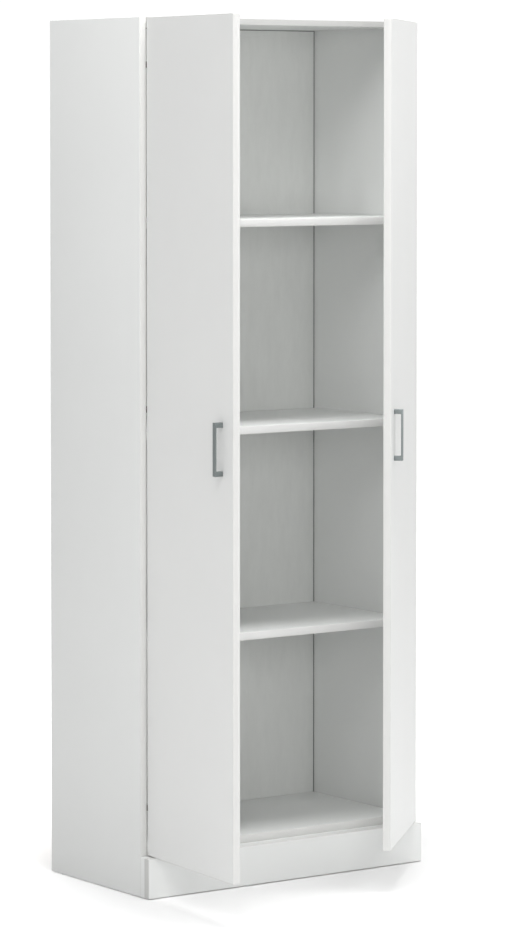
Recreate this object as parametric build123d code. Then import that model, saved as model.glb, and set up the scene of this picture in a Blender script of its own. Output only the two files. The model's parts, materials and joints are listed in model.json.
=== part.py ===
from build123d import *
import os
from math import cos, pi, sqrt

# Tall two-door pantry cabinet in melamine board, millimetres.
# The origin is the middle of the plinth's underside: X runs to the right, Y to the back, Z up.

# Carcass boards
WIDTH = 700.0
HEIGHT = 1790.0
CARCASS_DEPTH = 338.0
BOARD_T = 16.0
TOP_T = 12.0
BACK_T = 3.0
BACK_LAP = 8.0
EDGE_EASE = 1.0
SHELVES = 3
SHELF_RECESS = 2.0
BOARD_PLAY = 0.5
LOWER_SHELF_Z = 506.0
SHELF_PITCH = 428.0

# Plinth
PLINTH_H = 84.0
PLINTH_T = 16.0
TOE = 14.0
BATTEN_DEPTH = 26.0
BATTEN_H = 40.0
PLINTH_SCREWS = 4

# Doors: gaps round the closed pair, and the angles at which they stand open
DOOR_T = 16.0
DOOR_REVEAL = 1.0
DOOR_MIDDLE_GAP = 3.0
DOOR_BACK_GAP = 2.0
DOOR_FOOT_GAP = 2.0
LEFT_OPEN = 95.0
RIGHT_OPEN = 43.5
FULL_OPEN = 95.0

# Concealed hinges: places are measured from the board or door edge that carries each pin
LINK_SWING = 55.0
HINGE_END = 95.0
HINGE_OVER_SHELF = 45.0
CUP_D = 35.0
CUP_DEPTH = 11.5
CUP_WALL = 0.8
CUP_TAB = 4.5
CUP_PLAY = 0.1
CUP_PIN_IN = 9.2
CUP_PIN_DEPTH = 4.0
FLANGE_T = 1.0
FLANGE_LENGTH = 52.0
FLANGE_WIDTH = 20.0
FLANGE_CORNER = 4.0
CUP_SCREW_PITCH = 45.0
CUP_SCREW_SET = 9.5
ARM_PIN_OUT = 9.7
ARM_PIN_BACK = 5.4
ARM_HEIGHT = 14.0
ARM_END = 58.0
ARM_SHEET = 1.5
HINGE_PIN_D = 3.0
PIN_PLAY = 0.05
EYE_WALL = 1.0
NOSE_WALL = 2.7
LINK_T = 2.0
LINK_W = 10.0
LINK_CLEAR = 0.6
LINK_SIDE_PLAY = 0.3
PLATE_T = 3.0
PLATE_FRONT = 20.0
PLATE_DEPTH = 36.0
PLATE_LENGTH = 48.0
PLATE_CORNER = 4.0
PLATE_SCREW_PITCH = 32.0
SYSTEM_LINE = 37.0

# Bow handle
HANDLE_PITCH = 96.0
HANDLE_LEG = 10.0
HANDLE_WIDTH = 10.0
HANDLE_REACH = 18.0
HANDLE_GRIP_T = 3.5
HANDLE_INSET = 44.0
HANDLE_R = 1.0
HANDLE_SCREW_BITE = 10.0

# Board fittings
CAM_D = 15.0
CAM_COVER = 3.5
CAM_REACH = 24.0
CAM_BOLT_D = 6.0
CAM_THREAD_D = 5.0
CAM_THREAD = 11.0
CAM_INSET = 50.0
DOWEL_D = 6.0
DOWEL_BITE = 10.0
DOWEL_REACH = 20.0
DOWEL_STEP = 32.0
SHELF_PIN_D = 5.0
SHELF_PIN_BITE = 9.0
SHELF_PAD = 9.0
SHELF_PAD_T = 2.0
SHELF_PIN_INSET = 45.0
BUFFER_D = 8.0
BUFFER_T = 1.5
BUFFER_INSET = 14.0
HOLE_PLAY = 0.05

# Anti-tip bracket under the top panel
BRACKET_T = 2.0
BRACKET_WIDTH = 40.0
BRACKET_LEG = 36.0
BRACKET_HOLE_OUT = 21.5
BRACKET_HOLE_D = 5.5
BRACKET_SCREW_PITCH = 22.0
BRACKET_SCREW_BITE = 8.0
WALL_HOLE_D = 9.0

# Small hardware is faceted: sides of hinge cups, of link eyes, of cams, and of screws, pins and dowels
CUP_SIDES = 20
EYE_SIDES = 12
CAM_SIDES = 8
SCREW_SIDES = 6

# Screw sizes: shank diameter, head diameter, head height, shank length
EURO_SCREW = (5.0, 8.0, 2.0, 14.0)
ARM_SCREW = (4.0, 7.0, 1.8, 12.5)
CUP_SCREW = (3.5, 6.5, 1.6, 11.0)
HANDLE_SCREW = (4.0, 8.0, 2.4, DOOR_T + HANDLE_SCREW_BITE)
BATTEN_SCREW = (4.0, 8.0, 2.5, 36.0)
BRACKET_SCREW = (3.5, 6.5, 1.6, BRACKET_T + BRACKET_SCREW_BITE)

# Planes that several pieces share
HALF_W = WIDTH / 2
INNER_X = HALF_W - BOARD_T
FRONT_Y = PLINTH_T / 2 + TOE
REAR_Y = FRONT_Y + CARCASS_DEPTH
BACK_FACE_Y = REAR_Y - BACK_T
BOTTOM_Z = PLINTH_H
UNDER_TOP_Z = HEIGHT - TOP_T
SHELF_Z = [LOWER_SHELF_Z + i * SHELF_PITCH for i in range(SHELVES)]
DOOR_Z = (PLINTH_H + DOOR_FOOT_GAP, HEIGHT - DOOR_REVEAL)
DOOR_MID_Z = sum(DOOR_Z) / 2
DOOR_W = HALF_W - DOOR_REVEAL - DOOR_MIDDLE_GAP / 2
DOOR_BACK_Y = FRONT_Y - DOOR_BACK_GAP
DOOR_FACE_Y = DOOR_BACK_Y - DOOR_T
DOOR_EDGE_X = -HALF_W + DOOR_REVEAL

# Three hinges a door: one near each end, one just above the fixed middle shelf
HINGE_Z = [
    DOOR_Z[0] + HINGE_END,
    SHELF_Z[1] + BOARD_T + HINGE_OVER_SHELF,
    DOOR_Z[1] - HINGE_END,
]

# Hinge pins of the left door when it is closed
ARM_PIN = Vector(-INNER_X + ARM_PIN_OUT, FRONT_Y + ARM_PIN_BACK)
CUP_PIN = Vector(DOOR_EDGE_X + CUP_PIN_IN, DOOR_BACK_Y - CUP_PIN_DEPTH)
CUP_X = DOOR_EDGE_X + CUP_TAB + CUP_D / 2
CUP_SCREW_X = CUP_X + CUP_SCREW_SET


def block(x, y, z):
    """Box between two limits on each axis."""
    size = (x[1] - x[0], y[1] - y[0], z[1] - z[0])
    return Pos(x[0], y[0], z[0]) * Box(*size, align=(Align.MIN,) * 3)


def rod(radius, start, end):
    """Round bar between two points that differ on one axis."""
    span = Vector(*end) - Vector(*start)
    plane = Plane(origin=start, z_dir=span)
    return plane * Cylinder(radius, span.length, align=(Align.CENTER, Align.CENTER, Align.MIN))


def prism(radius, sides, start, end):
    """Faceted bar between two points that differ on one axis."""
    span = Vector(*end) - Vector(*start)
    plane = Plane(origin=start, z_dir=span)
    return extrude(plane * RegularPolygon(radius, sides), span.length)


def screw(sizes, seat, direction):
    """Screw with its head's underside on the seat and its shank along the direction."""
    shank_d, head_d, head_h, length = sizes
    seat = Vector(*seat)
    way = Vector(*direction)
    head = prism(head_d / 2, SCREW_SIDES, seat, seat - way * head_h)
    return head + prism(shank_d / 2, SCREW_SIDES, seat, seat + way * length)


def shank_hole(sizes, seat, direction):
    """Clearance for the shank of a screw placed the same way."""
    shank_d, _, _, length = sizes
    seat = Vector(*seat)
    return prism(shank_d / 2 + HOLE_PLAY, SCREW_SIDES, seat, seat + Vector(*direction) * length)


def ease_front(board):
    """Ease the two long front edges of a board that lies across the cabinet."""
    front = board.faces().sort_by(Axis.Y)[0]
    return chamfer(front.edges().filter_by(Axis.X), EDGE_EASE)


def cut_all(body, tools):
    """Take every tool away from a body."""
    for tool in tools:
        body -= tool
    return body


def mirrored(solids):
    """The same pieces on the right-hand side."""
    return [mirror(solid, about=Plane.YZ) for solid in solids]


def spread(count, low, high):
    """Evenly spaced places with half a step left at each end."""
    step = (high - low) / count
    return [low + step * (i + 0.5) for i in range(count)]


# Joints between the fixed boards and the sides

CAM_Y = (FRONT_Y + CAM_INSET, BACK_FACE_Y - CAM_INSET)
DOWEL_Y = (CAM_Y[0] + DOWEL_STEP, CAM_Y[1] - DOWEL_STEP)

# Each fixed board: underside, thickness, and whether its cams open upwards
FIXED_BOARDS = {
    "top_panel": (UNDER_TOP_Z, TOP_T, True),
    "bottom_panel": (BOTTOM_Z, BOARD_T, False),
    "middle_shelf": (SHELF_Z[1], BOARD_T, False),
}


def board_joints(z, thickness, opens_up):
    """Left-hand cams, bolts and dowels of one fixed board, and the holes they need."""
    mid_z = z + thickness / 2
    cam_x = -INNER_X + CAM_REACH
    cam_z = (z + CAM_COVER, z + thickness) if opens_up else (z, z + thickness - CAM_COVER)
    found = {"cams": [], "bolts": [], "dowels": [], "board_holes": [], "side_holes": []}
    for y in CAM_Y:
        seat = (-INNER_X, y, mid_z)
        axis_end = (cam_x, y, mid_z)
        thread_end = (-INNER_X - CAM_THREAD, y, mid_z)
        cam_ends = ((cam_x, y, cam_z[0]), (cam_x, y, cam_z[1]))
        cam = prism(CAM_D / 2, CAM_SIDES, *cam_ends)
        cam -= prism(CAM_BOLT_D / 2 + 2 * HOLE_PLAY, SCREW_SIDES, seat, axis_end)
        found["cams"].append(cam)
        bolt = prism(CAM_BOLT_D / 2, SCREW_SIDES, seat, (cam_x - 2 * HOLE_PLAY, y, mid_z))
        found["bolts"].append(bolt + prism(CAM_THREAD_D / 2, SCREW_SIDES, seat, thread_end))
        pocket = prism(CAM_D / 2 + HOLE_PLAY, CAM_SIDES, *cam_ends)
        bolt_hole = prism(CAM_BOLT_D / 2 + HOLE_PLAY, SCREW_SIDES, seat, axis_end)
        found["board_holes"] += [pocket, bolt_hole]
        found["side_holes"].append(prism(CAM_THREAD_D / 2 + HOLE_PLAY, SCREW_SIDES, seat, thread_end))
    for y in DOWEL_Y:
        ends = ((-INNER_X - DOWEL_BITE, y, mid_z), (-INNER_X + DOWEL_REACH, y, mid_z))
        hole = prism(DOWEL_D / 2 + HOLE_PLAY, SCREW_SIDES, *ends)
        found["dowels"].append(prism(DOWEL_D / 2, SCREW_SIDES, *ends))
        found["board_holes"].append(hole)
        found["side_holes"].append(hole)
    return found


JOINTS = {name: board_joints(*sizes) for name, sizes in FIXED_BOARDS.items()}


def gathered(kind):
    """All left-hand solids of one kind of joint fitting."""
    return [solid for joint in JOINTS.values() for solid in joint[kind]]


# Shelf pins under the loose shelves

LOOSE_SHELVES = {"lower_shelf": SHELF_Z[0], "upper_shelf": SHELF_Z[2]}
SHELF_FRONT_Y = FRONT_Y + SHELF_RECESS
PIN_Y = (SHELF_FRONT_Y + SHELF_PIN_INSET, BACK_FACE_Y - SHELF_PIN_INSET)


def shelf_pin(y, shelf_z):
    """Left-hand pin with a flat pad that the shelf lies on."""
    axis_z = shelf_z - SHELF_PIN_D / 2
    ends = ((-INNER_X - SHELF_PIN_BITE, y, axis_z), (-INNER_X + SHELF_PAD, y, axis_z))
    pin = prism(SHELF_PIN_D / 2, SCREW_SIDES, *ends)
    pad_y = (y - SHELF_PAD / 2, y + SHELF_PAD / 2)
    return pin + block((-INNER_X, -INNER_X + SHELF_PAD), pad_y, (shelf_z - SHELF_PAD_T, shelf_z))


def shelf_pin_hole(y, shelf_z):
    """Hole in the left side for one shelf pin."""
    axis_z = shelf_z - SHELF_PIN_D / 2
    ends = ((-INNER_X - SHELF_PIN_BITE, y, axis_z), (-INNER_X, y, axis_z))
    return prism(SHELF_PIN_D / 2 + HOLE_PLAY, SCREW_SIDES, *ends)


SHELF_PIN_PLACES = [(y, z) for z in LOOSE_SHELVES.values() for y in PIN_Y]


# Concealed hinge, built for the closed left door at one height

PLATE_FACE_X = -INNER_X + PLATE_T
ARM_FACE_X = -INNER_X + ARM_HEIGHT
PLATE_SCREW_Y = FRONT_Y + SYSTEM_LINE
HINGE_BORE_R = (HINGE_PIN_D / 2 + PIN_PLAY) / cos(pi / EYE_SIDES)
CHEEK_Z = LINK_W / 2 + LINK_SIDE_PLAY


def slab(sketch, z, height):
    """Plan sketch given a height, standing on a level."""
    return Pos(0, 0, z) * extrude(sketch, height)


def disc(centre, radius):
    """Faceted round plan sketch."""
    return Pos(centre.X, centre.Y) * RegularPolygon(radius, EYE_SIDES)


def strap(points, width):
    """Plan sketch of a bent strip along its middle line, mitred at the bends."""
    runs = [(end - start).normalized() for start, end in zip(points, points[1:])]
    near, far = [], []
    for point, before, after in zip(points, runs[:1] + runs, runs + runs[-1:]):
        across = (before + after).normalized().rotate(Axis.Z, 90)
        reach = across * (width / 2 / across.dot(before.rotate(Axis.Z, 90)))
        near.append(point + reach)
        far.append(point - reach)
    return make_face(Polyline(*near, *reversed(far), close=True))


def turned(point, centre, angle):
    """Plan point turned about a centre."""
    return centre + (point - centre).rotate(Axis.Z, angle)


def link_path():
    """Middle line of the link: it hooks round the door's edge when the door stands fully open."""
    swing = -(FULL_OPEN + LINK_SWING)
    cup_inside = sqrt((CUP_D / 2 - CUP_WALL) ** 2 - (LINK_W / 2) ** 2)
    stand_off = LINK_T / 2 + LINK_CLEAR
    inner_corner = Vector(CUP_X - cup_inside + stand_off, DOOR_BACK_Y + stand_off)
    edge_corner = Vector(DOOR_EDGE_X - stand_off, DOOR_BACK_Y + stand_off)
    corners = [turned(corner, CUP_PIN, swing) for corner in (inner_corner, edge_corner)]
    return [CUP_PIN, *corners, ARM_PIN]


def hinge_link(z):
    """Swinging link with an eye at each pin."""
    eye_r = HINGE_PIN_D / 2 + EYE_WALL
    sketch = strap(link_path(), LINK_T)
    for pin in (CUP_PIN, ARM_PIN):
        sketch += disc(pin, eye_r)
    for pin in (CUP_PIN, ARM_PIN):
        sketch -= disc(pin, HINGE_BORE_R)
    return slab(sketch, z - LINK_W / 2, LINK_W)


def hinge_arm(z):
    """Channel-shaped arm that stands on the plate and carries the link's pin in its two cheeks."""
    nose_r = HINGE_PIN_D / 2 + NOSE_WALL
    end_y = FRONT_Y + ARM_END
    cheek = Pos((PLATE_FACE_X + ARM_FACE_X) / 2, (ARM_PIN.Y + end_y) / 2)
    cheek *= Rectangle(ARM_FACE_X - PLATE_FACE_X, end_y - ARM_PIN.Y)
    cheek += disc(ARM_PIN, nose_r)
    cheek -= disc(ARM_PIN, HINGE_BORE_R)
    arm = slab(cheek, z + CHEEK_Z, ARM_SHEET) + slab(cheek, z - CHEEK_Z - ARM_SHEET, ARM_SHEET)
    web_y = (ARM_PIN.Y + nose_r + LINK_CLEAR, end_y)
    arm += block((ARM_FACE_X - ARM_SHEET, ARM_FACE_X), web_y, (z - CHEEK_Z, z + CHEEK_Z))
    return arm - shank_hole(ARM_SCREW, (ARM_FACE_X, PLATE_SCREW_Y, z), (-1, 0, 0))


def arm_pin(z):
    """Pin fixed in the arm's cheeks."""
    half = CHEEK_Z + ARM_SHEET
    return rod(HINGE_PIN_D / 2, (ARM_PIN.X, ARM_PIN.Y, z - half), (ARM_PIN.X, ARM_PIN.Y, z + half))


def arm_screw(z):
    """Screw that clamps the arm to its plate."""
    return screw(ARM_SCREW, (ARM_FACE_X, PLATE_SCREW_Y, z), (-1, 0, 0))


def plate_screw_seats(z):
    """Seats of the two screws that hold a plate to the side panel."""
    return [(PLATE_FACE_X, PLATE_SCREW_Y, z + s * PLATE_SCREW_PITCH / 2) for s in (-1, 1)]


def hinge_plate(z):
    """Mounting plate screwed to the inner face of the side panel."""
    plate_y = (FRONT_Y + PLATE_FRONT, FRONT_Y + PLATE_FRONT + PLATE_DEPTH)
    plate_z = (z - PLATE_LENGTH / 2, z + PLATE_LENGTH / 2)
    plate = block((-INNER_X, PLATE_FACE_X), plate_y, plate_z)
    plate = chamfer(plate.edges().filter_by(Axis.X), PLATE_CORNER)
    plate -= shank_hole(ARM_SCREW, (ARM_FACE_X, PLATE_SCREW_Y, z), (-1, 0, 0))
    return cut_all(plate, [shank_hole(EURO_SCREW, seat, (-1, 0, 0)) for seat in plate_screw_seats(z)])


CUP_FLAT_R = CUP_D / 2 * cos(pi / CUP_SIDES)
CUP_PIN_HALF = sqrt(CUP_FLAT_R**2 - (CUP_X - CUP_PIN.X + HINGE_PIN_D / 2) ** 2)


def cup_pin(z):
    """Pin fixed in the cup's walls."""
    ends = [(CUP_PIN.X, CUP_PIN.Y, z + s * CUP_PIN_HALF) for s in (-1, 1)]
    return rod(HINGE_PIN_D / 2, *ends)


def cup_screw_seats(z):
    """Seats of the two screws that hold a cup's flange to the door."""
    face_y = DOOR_BACK_Y + FLANGE_T
    return [(CUP_SCREW_X, face_y, z + s * CUP_SCREW_PITCH / 2) for s in (-1, 1)]


def hinge_cup(z):
    """Drawn cup with a flange on the door's back face."""
    floor_y = DOOR_BACK_Y - CUP_DEPTH
    flange_x = (CUP_SCREW_X - FLANGE_WIDTH / 2, CUP_SCREW_X + FLANGE_WIDTH / 2)
    flange_z = (z - FLANGE_LENGTH / 2, z + FLANGE_LENGTH / 2)
    flange = block(flange_x, (DOOR_BACK_Y, DOOR_BACK_Y + FLANGE_T), flange_z)
    flange = chamfer(flange.edges().filter_by(Axis.Y), FLANGE_CORNER)
    cup = flange + prism(CUP_D / 2, CUP_SIDES, (CUP_X, floor_y, z), (CUP_X, DOOR_BACK_Y, z))
    cavity_ends = ((CUP_X, floor_y + CUP_WALL, z), (CUP_X, DOOR_BACK_Y + FLANGE_T, z))
    cup -= prism(CUP_D / 2 - CUP_WALL, CUP_SIDES, *cavity_ends)
    cup -= slab(disc(CUP_PIN, HINGE_BORE_R), z - CUP_PIN_HALF, 2 * CUP_PIN_HALF)
    return cut_all(cup, [shank_hole(CUP_SCREW, seat, (0, -1, 0)) for seat in cup_screw_seats(z)])


def at_hinges(make):
    """One piece at each hinge height."""
    return [make(z) for z in HINGE_Z]


def at_seats(sizes, seats, direction):
    """Screws at the seats of every hinge."""
    return [screw(sizes, seat, direction) for z in HINGE_Z for seat in seats(z)]


# Anti-tip bracket

BRACKET_HOLE_Z = UNDER_TOP_Z - BRACKET_HOLE_OUT
BRACKET_SCREW_Y = BACK_FACE_Y - BRACKET_HOLE_OUT
BRACKET_SEATS = [(s * BRACKET_SCREW_PITCH / 2, BRACKET_SCREW_Y, UNDER_TOP_Z - BRACKET_T) for s in (-1, 1)]
BRACKET_HOLES = [shank_hole(BRACKET_SCREW, seat, (0, 0, 1)) for seat in BRACKET_SEATS]


def wall_bracket():
    """Steel angle under the top panel, with one hole for a screw into the wall."""
    across = (-BRACKET_WIDTH / 2, BRACKET_WIDTH / 2)
    flat_y = (BACK_FACE_Y - BRACKET_LEG, BACK_FACE_Y)
    bracket = block(across, flat_y, (UNDER_TOP_Z - BRACKET_T, UNDER_TOP_Z))
    upright_z = (UNDER_TOP_Z - BRACKET_LEG, UNDER_TOP_Z)
    bracket += block(across, (BACK_FACE_Y - BRACKET_T, BACK_FACE_Y), upright_z)
    hole_ends = ((0, BACK_FACE_Y - BRACKET_T, BRACKET_HOLE_Z), (0, BACK_FACE_Y, BRACKET_HOLE_Z))
    bracket -= rod(BRACKET_HOLE_D / 2, *hole_ends)
    return cut_all(bracket, BRACKET_HOLES)


# Side panels and what stands on their front edge

def side_panel():
    """Left side: front edges eased above the toe, a rebate for the back panel, and holes for fittings."""
    side = block((-HALF_W, -INNER_X), (FRONT_Y, REAR_Y), (0, HEIGHT))
    front = side.faces().sort_by(Axis.Y)[0]
    side = chamfer(front.edges().filter_by(Axis.Z), EDGE_EASE)
    side += block((-HALF_W, -INNER_X), (FRONT_Y, FRONT_Y + EDGE_EASE), (0, PLINTH_H))
    side -= block((-INNER_X - BACK_LAP, -INNER_X), (BACK_FACE_Y, REAR_Y), (BOTTOM_Z, HEIGHT))
    holes = gathered("side_holes")
    holes += [shelf_pin_hole(*place) for place in SHELF_PIN_PLACES]
    for z in HINGE_Z:
        holes += [shank_hole(EURO_SCREW, seat, (-1, 0, 0)) for seat in plate_screw_seats(z)]
    return cut_all(side, holes)


def toe_block():
    """Left toe: fills the foot of the side panel forward to the plinth."""
    return block((-HALF_W, -INNER_X), (FRONT_Y - TOE, FRONT_Y), (0, PLINTH_H))


# Boards across the cabinet

def fixed_board(name):
    """Top, bottom or middle shelf, drilled for the fittings at both ends."""
    z, thickness, _ = FIXED_BOARDS[name]
    board = block((-INNER_X, INNER_X), (FRONT_Y, BACK_FACE_Y), (z, z + thickness))
    holes = JOINTS[name]["board_holes"]
    return cut_all(ease_front(board), holes + mirrored(holes))


def loose_shelf(z):
    """Shelf that lies on four pins."""
    reach = INNER_X - BOARD_PLAY
    return ease_front(block((-reach, reach), (SHELF_FRONT_Y, BACK_FACE_Y), (z, z + BOARD_T)))


def back_panel():
    """Thin panel in the rebates, over the rear edges of the top and bottom."""
    reach = INNER_X + BACK_LAP - BOARD_PLAY
    rise = (BOTTOM_Z + BOARD_PLAY, HEIGHT - BOARD_PLAY)
    panel = block((-reach, reach), (BACK_FACE_Y, REAR_Y), rise)
    return panel - rod(WALL_HOLE_D / 2, (0, BACK_FACE_Y, BRACKET_HOLE_Z), (0, REAR_Y, BRACKET_HOLE_Z))


# Plinth

BATTEN_Y = (PLINTH_T / 2, PLINTH_T / 2 + BATTEN_DEPTH)
BATTEN_Z = (PLINTH_H - BATTEN_H, PLINTH_H)
BATTEN_MID_Z = sum(BATTEN_Z) / 2
PLINTH_SCREW_SEATS = [(x, BATTEN_Y[1], BATTEN_MID_Z) for x in spread(PLINTH_SCREWS, -INNER_X, INNER_X)]
PLINTH_HOLES = [shank_hole(BATTEN_SCREW, seat, (0, -1, 0)) for seat in PLINTH_SCREW_SEATS]


def plinth():
    """Board across the whole front, standing on the floor."""
    board = block((-HALF_W, HALF_W), (-PLINTH_T / 2, PLINTH_T / 2), (0, PLINTH_H))
    return cut_all(ease_front(board), PLINTH_HOLES)


def plinth_batten():
    """Batten under the front of the bottom panel that the plinth is screwed to from behind."""
    reach = INNER_X - BOARD_PLAY
    return cut_all(block((-reach, reach), BATTEN_Y, BATTEN_Z), PLINTH_HOLES)


# Left door and what is fixed to it, all closed

HANDLE_X = DOOR_EDGE_X + DOOR_W - HANDLE_INSET
HANDLE_SEATS = [(HANDLE_X, DOOR_BACK_Y, DOOR_MID_Z + s * HANDLE_PITCH / 2) for s in (-1, 1)]
HANDLE_HOLES = [shank_hole(HANDLE_SCREW, seat, (0, -1, 0)) for seat in HANDLE_SEATS]


def door_panel():
    """Slab door with eased edges, bored for the hinge cups and the handle."""
    door = block((DOOR_EDGE_X, DOOR_EDGE_X + DOOR_W), (DOOR_FACE_Y, DOOR_BACK_Y), DOOR_Z)
    door = chamfer(door.edges(), EDGE_EASE)
    bore_y = (DOOR_BACK_Y - CUP_DEPTH - CUP_PLAY, DOOR_BACK_Y)
    for z in HINGE_Z:
        door -= prism(CUP_D / 2 + CUP_PLAY, CUP_SIDES, (CUP_X, bore_y[0], z), (CUP_X, bore_y[1], z))
        door = cut_all(door, [shank_hole(CUP_SCREW, seat, (0, -1, 0)) for seat in cup_screw_seats(z)])
    return cut_all(door, HANDLE_HOLES)


def bow_handle():
    """Slim bow: a flat grip on two square legs."""
    half = (HANDLE_PITCH + HANDLE_LEG) / 2
    across = (HANDLE_X - HANDLE_WIDTH / 2, HANDLE_X + HANDLE_WIDTH / 2)
    rise = (DOOR_MID_Z - half, DOOR_MID_Z + half)
    bow = block(across, (DOOR_FACE_Y - HANDLE_REACH, DOOR_FACE_Y), rise)
    grip = bow.faces().sort_by(Axis.Y)[0]
    bow = fillet(grip.edges().filter_by(Axis.X), HANDLE_R)
    gap_z = (rise[0] + HANDLE_LEG, rise[1] - HANDLE_LEG)
    bow -= block(across, (DOOR_FACE_Y - HANDLE_REACH + HANDLE_GRIP_T, DOOR_FACE_Y), gap_z)
    return cut_all(bow, HANDLE_HOLES)


def door_buffers():
    """Soft pads that meet the front edges of the top and bottom."""
    x = DOOR_EDGE_X + DOOR_W - BUFFER_INSET
    places = (BOTTOM_Z + BOARD_T / 2, UNDER_TOP_Z + TOP_T / 2)
    seats = [((x, DOOR_BACK_Y, z), (x, DOOR_BACK_Y + BUFFER_T, z)) for z in places]
    return [prism(BUFFER_D / 2, EYE_SIDES, *ends) for ends in seats]


def about(centre, angle, solid):
    """Solid turned about an upright line."""
    return Pos(centre.X, centre.Y) * Rot(0, 0, angle) * Pos(-centre.X, -centre.Y) * solid


def opened_link(solids, angle, side):
    """Links swung on the arm pins, for a door that stands open by an angle."""
    centre = Vector(side * ARM_PIN.X, ARM_PIN.Y)
    swing = side * LINK_SWING * angle / FULL_OPEN
    return [about(centre, swing, solid) for solid in solids]


def opened_door(solids, angle, side):
    """Door pieces turned on the cup pins and carried by the links."""
    centre = Vector(side * CUP_PIN.X, CUP_PIN.Y)
    turn = -side * angle * (1 + LINK_SWING / FULL_OPEN)
    return opened_link([about(centre, turn, solid) for solid in solids], angle, side)


def on_both(name, left):
    """Left-hand pieces, and their mirror image, as two nodes."""
    return {f"left_{name}": left, f"right_{name}": mirrored(left)}


# Every node of the cabinet

nodes = {}
nodes.update(on_both("side_panel", [side_panel()]))
nodes.update(on_both("toe_block", [toe_block()]))
for name in FIXED_BOARDS:
    nodes[name] = [fixed_board(name)]
nodes["top_panel"] = [cut_all(nodes["top_panel"][0], BRACKET_HOLES)]
for name, z in LOOSE_SHELVES.items():
    nodes[name] = [loose_shelf(z)]
nodes["back_panel"] = [back_panel()]
nodes["plinth"] = [plinth()]
nodes["plinth_batten"] = [plinth_batten()]
nodes["plinth_screws"] = [screw(BATTEN_SCREW, seat, (0, -1, 0)) for seat in PLINTH_SCREW_SEATS]
nodes["wall_bracket"] = [wall_bracket()]
nodes["wall_bracket_screws"] = [screw(BRACKET_SCREW, seat, (0, 0, 1)) for seat in BRACKET_SEATS]

for node, kind in (("cam_locks", "cams"), ("cam_bolts", "bolts"), ("dowels", "dowels")):
    left = gathered(kind)
    nodes[node] = left + mirrored(left)
left_pins = [shelf_pin(*place) for place in SHELF_PIN_PLACES]
nodes["shelf_pins"] = left_pins + mirrored(left_pins)

CARCASS_HINGE_PIECES = {
    "hinge_plates": at_hinges(hinge_plate),
    "hinge_plate_screws": at_seats(EURO_SCREW, plate_screw_seats, (-1, 0, 0)),
    "hinge_arms": at_hinges(hinge_arm),
    "hinge_arm_pins": at_hinges(arm_pin),
    "hinge_arm_screws": at_hinges(arm_screw),
}
DOOR_PIECES = {
    "door_panel": [door_panel()],
    "handle": [bow_handle()],
    "handle_screws": [screw(HANDLE_SCREW, seat, (0, -1, 0)) for seat in HANDLE_SEATS],
    "hinge_cups": at_hinges(hinge_cup),
    "hinge_cup_pins": at_hinges(cup_pin),
    "hinge_cup_screws": at_seats(CUP_SCREW, cup_screw_seats, (0, -1, 0)),
    "door_buffers": door_buffers(),
}
LINKS = at_hinges(hinge_link)

for name, solids in CARCASS_HINGE_PIECES.items():
    nodes.update(on_both(name, solids))
nodes["left_hinge_links"] = opened_link(LINKS, LEFT_OPEN, 1)
nodes["right_hinge_links"] = opened_link(mirrored(LINKS), RIGHT_OPEN, -1)
for name, solids in DOOR_PIECES.items():
    nodes[f"left_{name}"] = opened_door(solids, LEFT_OPEN, 1)
    nodes[f"right_{name}"] = opened_door(mirrored(solids), RIGHT_OPEN, -1)

os.makedirs("parts", exist_ok=True)
for name, solids in nodes.items():
    shape = solids[0] if len(solids) == 1 else Compound(children=solids)
    export_step(shape, f"parts/{name}.step")

# Places of the moving pins at rest, for the joints
for side, label, angle in ((1, "left", LEFT_OPEN), (-1, "right", RIGHT_OPEN)):
    arm = Vector(side * ARM_PIN.X, ARM_PIN.Y)
    cup = turned(Vector(side * CUP_PIN.X, CUP_PIN.Y), arm, side * LINK_SWING * angle / FULL_OPEN)
    print(f"{label} arm pin {arm.X:.4f} {arm.Y:.4f}, cup pin {cup.X:.4f} {cup.Y:.4f}")
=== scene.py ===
import json
from math import atan2, cos, pi, radians, sin

import bmesh
import bpy
from bpy.props import FloatProperty, FloatVectorProperty, IntProperty, PointerProperty
from mathutils import Matrix, Vector


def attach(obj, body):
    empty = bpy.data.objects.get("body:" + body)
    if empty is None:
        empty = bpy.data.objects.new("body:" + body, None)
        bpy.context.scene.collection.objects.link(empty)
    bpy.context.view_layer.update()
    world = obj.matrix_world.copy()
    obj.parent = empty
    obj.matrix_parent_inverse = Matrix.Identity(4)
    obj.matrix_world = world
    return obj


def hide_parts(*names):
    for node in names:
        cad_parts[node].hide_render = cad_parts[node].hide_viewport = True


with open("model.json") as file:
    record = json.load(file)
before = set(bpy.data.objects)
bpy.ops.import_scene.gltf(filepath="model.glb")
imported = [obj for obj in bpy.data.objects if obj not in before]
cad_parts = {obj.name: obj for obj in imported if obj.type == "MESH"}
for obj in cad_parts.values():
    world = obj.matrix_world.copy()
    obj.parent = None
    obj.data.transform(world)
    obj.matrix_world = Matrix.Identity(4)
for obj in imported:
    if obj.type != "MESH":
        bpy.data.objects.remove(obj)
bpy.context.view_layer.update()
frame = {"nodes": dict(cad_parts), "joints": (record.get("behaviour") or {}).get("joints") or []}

bl_info = {
    "name": "Pantry Cabinet",
    "version": (1, 0, 0),
    "blender": (4, 5, 0),
    "location": "View3D > Sidebar > Pantry",
    "description": "Dresses the pantry cabinet's boards, doors, hinges and fittings",
    "category": "Object",
}

# The frame is in metres. Pieces are drawn in millimetres and brought to metres when they are placed.
MM = 0.001
JOINTS = {joint["name"]: joint for joint in frame["joints"]}
SIDES = {"left": 1, "right": -1}
UP, DOWN, BACK = (0.0, 0.0, 1.0), (0.0, 0.0, -1.0), (0.0, 1.0, 0.0)
WHITE = (1.0, 1.0, 1.0, 1.0)

# From closed to fully open, the hinge's link turns this far on its arm and the door this far on the link
LINK_TURN = 55.0
DOOR_TURN = 150.0

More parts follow.
